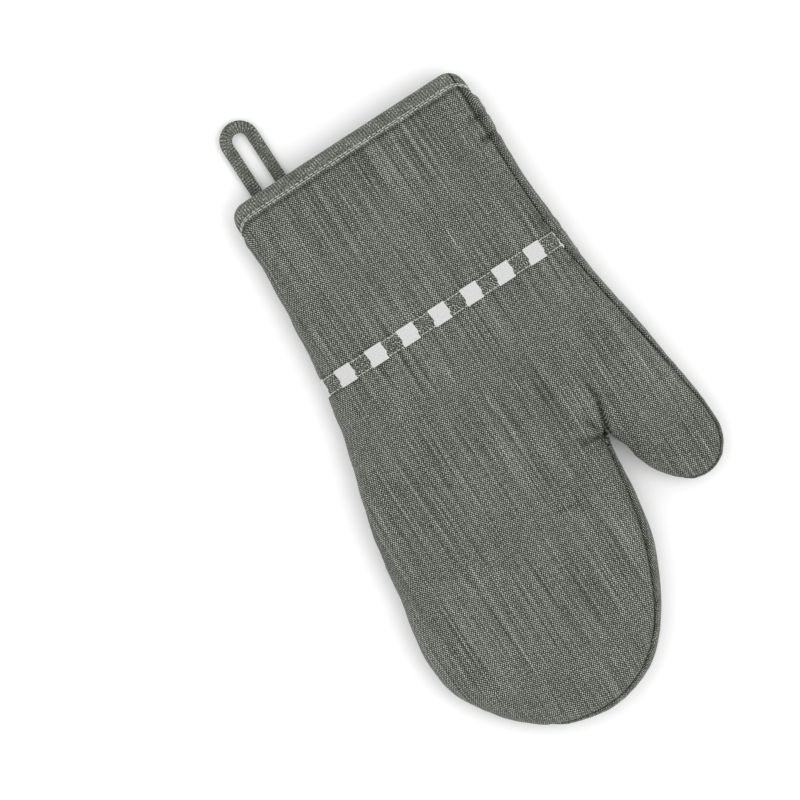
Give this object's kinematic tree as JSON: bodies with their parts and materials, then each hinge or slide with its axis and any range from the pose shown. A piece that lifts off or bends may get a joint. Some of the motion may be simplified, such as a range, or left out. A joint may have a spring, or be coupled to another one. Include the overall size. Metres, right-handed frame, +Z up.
{
  "type": "oven mitt",
  "caption": "Padded cloth oven mitt with one thumb, lying flat: quilt-weight layered walls, bound cuff, check ribbon trim and a hanging loop.",
  "frame": {"origin": "bottom centre of the box round the mitt and its loop, as it lies flat on its back cover", "axes": "+Y from the cuff to the fingertips, +Z up through the thickness, thumb on the -X side"},
  "size_m": [0.2, 0.372, 0.027],
  "materials": {
    "chambray_cover": "grey-green yarn-dyed cotton, plain weave with slubs",
    "binding_tape": "grey-green cotton cut on the bias, folded",
    "check_ribbon": "woven ribbon, squares of white and grey-green",
    "wadding": "needled cotton and polyester wadding",
    "lining": "plain light cotton",
    "white_thread": "spun polyester sewing thread",
    "green_thread": "spun polyester sewing thread"
  },
  "bodies": {
    "hand": {"palm_cover_front": "chambray_cover", "palm_cover_back": "chambray_cover", "palm_wadding_front": "wadding", "palm_wadding_back": "wadding", "palm_lining_front": "lining", "palm_lining_back": "lining", "palm_side_seam_thread": "green_thread", "cuff_binding": "binding_tape", "binding_topstitch": "green_thread", "check_ribbon": "check_ribbon", "ribbon_stitches": "white_thread", "ribbon_end_tack": "white_thread", "loop_tack": "green_thread"},
    "fingers": {"finger_cover_front": "chambray_cover", "finger_cover_back": "chambray_cover", "finger_wadding_front": "wadding", "finger_wadding_back": "wadding", "finger_lining_front": "lining", "finger_lining_back": "lining", "finger_side_seam_thread": "green_thread"},
    "thumb": {"thumb_cover_front": "chambray_cover", "thumb_cover_back": "chambray_cover", "thumb_wadding_front": "wadding", "thumb_wadding_back": "wadding", "thumb_lining_front": "lining", "thumb_lining_back": "lining", "thumb_side_seam_thread": "green_thread"},
    "hanging_loop": {"hanging_loop": "binding_tape"}
  },
  "joints": [
    {"name": "finger_fold", "type": "hinge", "parent": "hand", "child": "fingers", "pos_m": [0.02697, 0.082, 0.026], "axis": [1, 0, 0], "range_deg": [0, 80]},
    {"name": "thumb_fold", "type": "hinge", "parent": "hand", "child": "thumb", "pos_m": [-0.04793, 0.064, 0.026], "axis": [0.4695, 0.8829, 0], "range_deg": [0, 60]},
    {"name": "loop_swing", "type": "hinge", "parent": "hand", "child": "hanging_loop", "pos_m": [0.03297, -0.1465, 0.0025], "axis": [-1, 0, 0], "range_deg": [-90, 90]}
  ]
}
